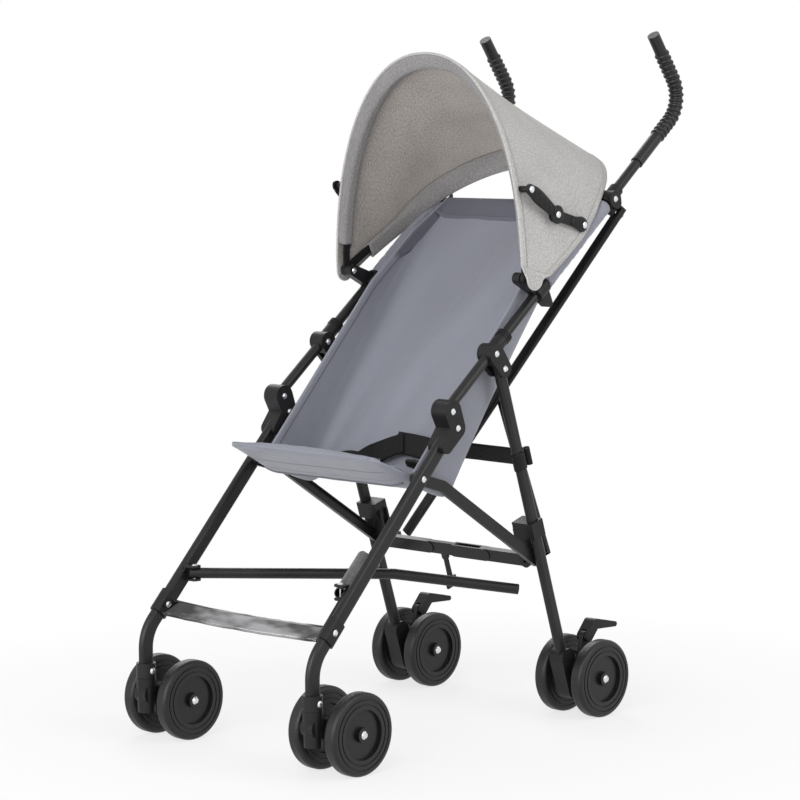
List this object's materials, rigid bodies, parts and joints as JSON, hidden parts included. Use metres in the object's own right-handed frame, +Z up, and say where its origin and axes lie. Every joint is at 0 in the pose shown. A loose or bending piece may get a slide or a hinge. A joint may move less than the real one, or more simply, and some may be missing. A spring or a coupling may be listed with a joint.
{
  "type": "umbrella stroller",
  "caption": "Lightweight umbrella stroller with crook handles, a sling seat, a folding canopy, paired swivel front wheels and braked rear wheels on a scissor-folding tube frame.",
  "frame": {"origin": "middle of the footprint on the floor, under the centre of the bounding box", "axes": "+Z up, +X to the stroller's left as seated, -Y to the front, where the foot strap is"},
  "size_m": [0.4526, 0.8407, 1.0512],
  "materials": {
    "frame_tube": "satin black paint on steel tube",
    "plastic": "moulded black plastic",
    "steel": "bright zinc-plated steel",
    "grip_rubber": "soft ribbed black rubber",
    "wheel_foam": "foamed black wheel with ring grooves",
    "seat_cloth": "blue-grey nylon",
    "canopy_cloth": "pale heather-grey cloth with a darker lining",
    "webbing": "shiny black webbing"
  },
  "bodies": {
    "left_side": {"left_handle_tube": "frame_tube", "left_grip": "grip_rubber", "left_front_leg": "frame_tube", "left_knee_bracket": "plastic", "left_hinge_bracket": "plastic", "left_handle_bracket": "plastic", "left_frame_rivets": "steel", "left_foot_bracket": "plastic", "left_canopy_clamp": "plastic", "left_caster_socket": "plastic", "seat": "seat_cloth", "foot_strap": "webbing", "canopy_cover": "canopy_cloth", "canopy_rear_bow": "plastic"},
    "right_side": {"right_handle_tube": "frame_tube", "right_grip": "grip_rubber", "right_front_leg": "frame_tube", "right_knee_bracket": "plastic", "right_hinge_bracket": "plastic", "right_handle_bracket": "plastic", "right_frame_rivets": "steel", "right_foot_bracket": "plastic", "right_canopy_clamp": "plastic", "right_caster_socket": "plastic"},
    "left_rear_leg": {"left_rear_leg": "frame_tube", "left_rear_bracket": "plastic", "left_rear_hub": "plastic", "left_rear_axle": "steel"},
    "left_brace": {"left_brace_tube": "frame_tube"},
    "left_cross_bar": {"left_cross_bar": "frame_tube"},
    "left_link": {"left_side_link": "frame_tube"},
    "left_floor_bar": {"left_floor_bar": "frame_tube"},
    "left_caster": {"left_caster_housing": "plastic", "left_front_axle": "steel"},
    "left_front_wheel_inner": {"left_front_wheel_inner": "wheel_foam"},
    "left_front_wheel_outer": {"left_front_wheel_outer": "wheel_foam"},
    "left_rear_wheel_inner": {"left_rear_wheel_inner": "wheel_foam"},
    "left_rear_wheel_outer": {"left_rear_wheel_outer": "wheel_foam"},
    "left_brake": {"left_brake_lever": "plastic"},
    "right_rear_leg": {"right_rear_leg": "frame_tube", "right_rear_bracket": "plastic", "right_rear_hub": "plastic", "right_rear_axle": "steel"},
    "right_brace": {"right_brace_tube": "frame_tube"},
    "right_cross_bar": {"right_cross_bar": "frame_tube"},
    "right_link": {"right_side_link": "frame_tube"},
    "right_floor_bar": {"right_floor_bar": "frame_tube"},
    "right_caster": {"right_caster_housing": "plastic", "right_front_axle": "steel"},
    "right_front_wheel_inner": {"right_front_wheel_inner": "wheel_foam"},
    "right_front_wheel_outer": {"right_front_wheel_outer": "wheel_foam"},
    "right_rear_wheel_inner": {"right_rear_wheel_inner": "wheel_foam"},
    "right_rear_wheel_outer": {"right_rear_wheel_outer": "wheel_foam"},
    "right_brake": {"right_brake_lever": "plastic"},
    "lock": {"lock_lever": "plastic"},
    "canopy_front": {"canopy_front_bow": "plastic"},
    "left_stay_rear": {"left_stay_rear": "plastic"},
    "left_stay_front": {"left_stay_front": "plastic"},
    "right_stay_rear": {"right_stay_rear": "plastic"},
    "right_stay_front": {"right_stay_front": "plastic"}
  },
  "joints": [
    {"name": "fold", "type": "slide", "parent": "left_side", "child": "right_side", "axis": [1, 0, 0], "range_m": [0, 0.182], "deforming": ["seat", "foot_strap", "canopy_rear_bow", "canopy_front_bow", "canopy_cover"]},
    {"name": "left_rear_leg_fold", "type": "hinge", "parent": "left_side", "child": "left_rear_leg", "pos_m": [0.176, -0.01259, 0.54992], "axis": [1, 0, 0], "range_deg": [-23.93, 0]},
    {"name": "left_brace_fold", "type": "hinge", "parent": "left_side", "child": "left_brace", "pos_m": [0.18, 0.26237, 0.7697], "axis": [-0.4639, -0.7391, 0.4885], "range_deg": [0, 20.8]},
    {"name": "left_cross_bar_fold", "type": "hinge", "parent": "left_rear_leg", "child": "left_cross_bar", "pos_m": [0.15, 0.08266, 0.24966], "axis": [0, 0.9532, 0.3024], "range_deg": [0, 66.84]},
    {"name": "left_link_fold", "type": "hinge", "parent": "left_side", "child": "left_link", "pos_m": [0.165, -0.18238, 0.40131], "axis": [1, 0, 0], "range_deg": [-20.83, 0]},
    {"name": "left_floor_bar_fold", "type": "hinge", "parent": "left_side", "child": "left_floor_bar", "pos_m": [0.1535, -0.32606, 0.25], "axis": [0, 0, 1], "range_deg": [-24.3, 0]},
    {"name": "left_caster_swivel", "type": "hinge", "parent": "left_side", "child": "left_caster", "pos_m": [0.176, -0.40539, 0.07], "axis": [0, 0, 1], "continuous": true},
    {"name": "left_front_inner_spin", "type": "hinge", "parent": "left_caster", "child": "left_front_wheel_inner", "pos_m": [0.14, -0.35139, 0.06], "axis": [1, 0, 0], "continuous": true},
    {"name": "left_front_outer_spin", "type": "hinge", "parent": "left_caster", "child": "left_front_wheel_outer", "pos_m": [0.212, -0.35139, 0.06], "axis": [1, 0, 0], "continuous": true},
    {"name": "left_rear_inner_spin", "type": "hinge", "parent": "left_rear_leg", "child": "left_rear_wheel_inner", "pos_m": [0.14, 0.17861, 0.06], "axis": [1, 0, 0], "continuous": true},
    {"name": "left_rear_outer_spin", "type": "hinge", "parent": "left_rear_leg", "child": "left_rear_wheel_outer", "pos_m": [0.212, 0.17861, 0.06], "axis": [1, 0, 0], "continuous": true},
    {"name": "left_brake_press", "type": "hinge", "parent": "left_rear_leg", "child": "left_brake", "pos_m": [0.176, 0.18561, 0.12], "axis": [1, 0, 0], "range_deg": [-18, 0]},
    {"name": "right_rear_leg_fold", "type": "hinge", "parent": "right_side", "child": "right_rear_leg", "pos_m": [-0.176, -0.01259, 0.54992], "axis": [1, 0, 0], "range_deg": [-23.93, 0]},
    {"name": "right_brace_fold", "type": "hinge", "parent": "right_side", "child": "right_brace", "pos_m": [-0.18, 0.26237, 0.7697], "axis": [-0.4639, 0.7391, -0.4885], "range_deg": [0, 20.8]},
    {"name": "right_cross_bar_fold", "type": "hinge", "parent": "right_rear_leg", "child": "right_cross_bar", "pos_m": [-0.15, 0.08266, 0.24966], "axis": [0, -0.9532, -0.3024], "range_deg": [0, 66.84]},
    {"name": "right_link_fold", "type": "hinge", "parent": "right_side", "child": "right_link", "pos_m": [-0.165, -0.18238, 0.40131], "axis": [1, 0, 0], "range_deg": [-20.83, 0]},
    {"name": "right_floor_bar_fold", "type": "hinge", "parent": "right_side", "child": "right_floor_bar", "pos_m": [-0.1535, -0.32606, 0.25], "axis": [0, 0, 1], "range_deg": [0, 24.3]},
    {"name": "right_caster_swivel", "type": "hinge", "parent": "right_side", "child": "right_caster", "pos_m": [-0.176, -0.40539, 0.07], "axis": [0, 0, 1], "continuous": true},
    {"name": "right_front_inner_spin", "type": "hinge", "parent": "right_caster", "child": "right_front_wheel_inner", "pos_m": [-0.14, -0.35139, 0.06], "axis": [1, 0, 0], "continuous": true},
    {"name": "right_front_outer_spin", "type": "hinge", "parent": "right_caster", "child": "right_front_wheel_outer", "pos_m": [-0.212, -0.35139, 0.06], "axis": [1, 0, 0], "continuous": true},
    {"name": "right_rear_inner_spin", "type": "hinge", "parent": "right_rear_leg", "child": "right_rear_wheel_inner", "pos_m": [-0.14, 0.17861, 0.06], "axis": [1, 0, 0], "continuous": true},
    {"name": "right_rear_outer_spin", "type": "hinge", "parent": "right_rear_leg", "child": "right_rear_wheel_outer", "pos_m": [-0.212, 0.17861, 0.06], "axis": [1, 0, 0], "continuous": true},
    {"name": "right_brake_press", "type": "hinge", "parent": "right_rear_leg", "child": "right_brake", "pos_m": [-0.176, 0.18561, 0.12], "axis": [1, 0, 0], "range_deg": [-18, 0]},
    {"name": "lock_swing", "type": "hinge", "parent": "right_cross_bar", "child": "lock", "pos_m": [-0.026, 0.08719, 0.23537], "axis": [0, 0.9532, 0.3024], "range_deg": [0, 80]},
    {"name": "canopy_fold", "type": "hinge", "parent": "left_side", "child": "canopy_front", "pos_m": [0, 0.03361, 0.681], "axis": [1, 0, 0], "range_deg": [-45, 0], "deforming": ["canopy_cover"]},
    {"name": "left_stay_rear_swing", "type": "hinge", "parent": "left_side", "child": "left_stay_rear", "pos_m": [0.196, 0.15361, 0.757], "axis": [1, 0, 0], "range_deg": [0, 60.37]},
    {"name": "left_stay_front_swing", "type": "hinge", "parent": "left_stay_rear", "child": "left_stay_front", "pos_m": [0.2, 0.08861, 0.775], "axis": [1, 0, 0], "range_deg": [-132.16, 0]},
    {"name": "right_stay_rear_swing", "type": "hinge", "parent": "right_side", "child": "right_stay_rear", "pos_m": [-0.196, 0.15361, 0.757], "axis": [1, 0, 0], "range_deg": [0, 60.37]},
    {"name": "right_stay_front_swing", "type": "hinge", "parent": "right_stay_rear", "child": "right_stay_front", "pos_m": [-0.2, 0.08861, 0.775], "axis": [1, 0, 0], "range_deg": [-132.16, 0]}
  ],
  "couplings": [
    {"joint": "left_rear_leg_fold", "follows": "fold", "rad_per_m": -2.2952},
    {"joint": "left_brace_fold", "follows": "fold", "rad_per_m": 1.9943},
    {"joint": "left_cross_bar_fold", "follows": "fold", "rad_per_m": 6.4096},
    {"joint": "left_link_fold", "follows": "fold", "rad_per_m": -1.998},
    {"joint": "left_floor_bar_fold", "follows": "fold", "rad_per_m": -2.3303},
    {"joint": "right_rear_leg_fold", "follows": "fold", "rad_per_m": -2.2952},
    {"joint": "right_brace_fold", "follows": "fold", "rad_per_m": 1.9943},
    {"joint": "right_cross_bar_fold", "follows": "fold", "rad_per_m": 6.4096},
    {"joint": "right_link_fold", "follows": "fold", "rad_per_m": -1.998},
    {"joint": "right_floor_bar_fold", "follows": "fold", "rad_per_m": 2.3303},
    {"joint": "lock_swing", "follows": "fold", "rad_per_m": 7.6718},
    {"joint": "left_stay_rear_swing", "follows": "canopy_fold", "ratio": -1.3416},
    {"joint": "left_stay_front_swing", "follows": "canopy_fold", "ratio": 2.9368},
    {"joint": "right_stay_rear_swing", "follows": "canopy_fold", "ratio": -1.3416},
    {"joint": "right_stay_front_swing", "follows": "canopy_fold", "ratio": 2.9368}
  ]
}
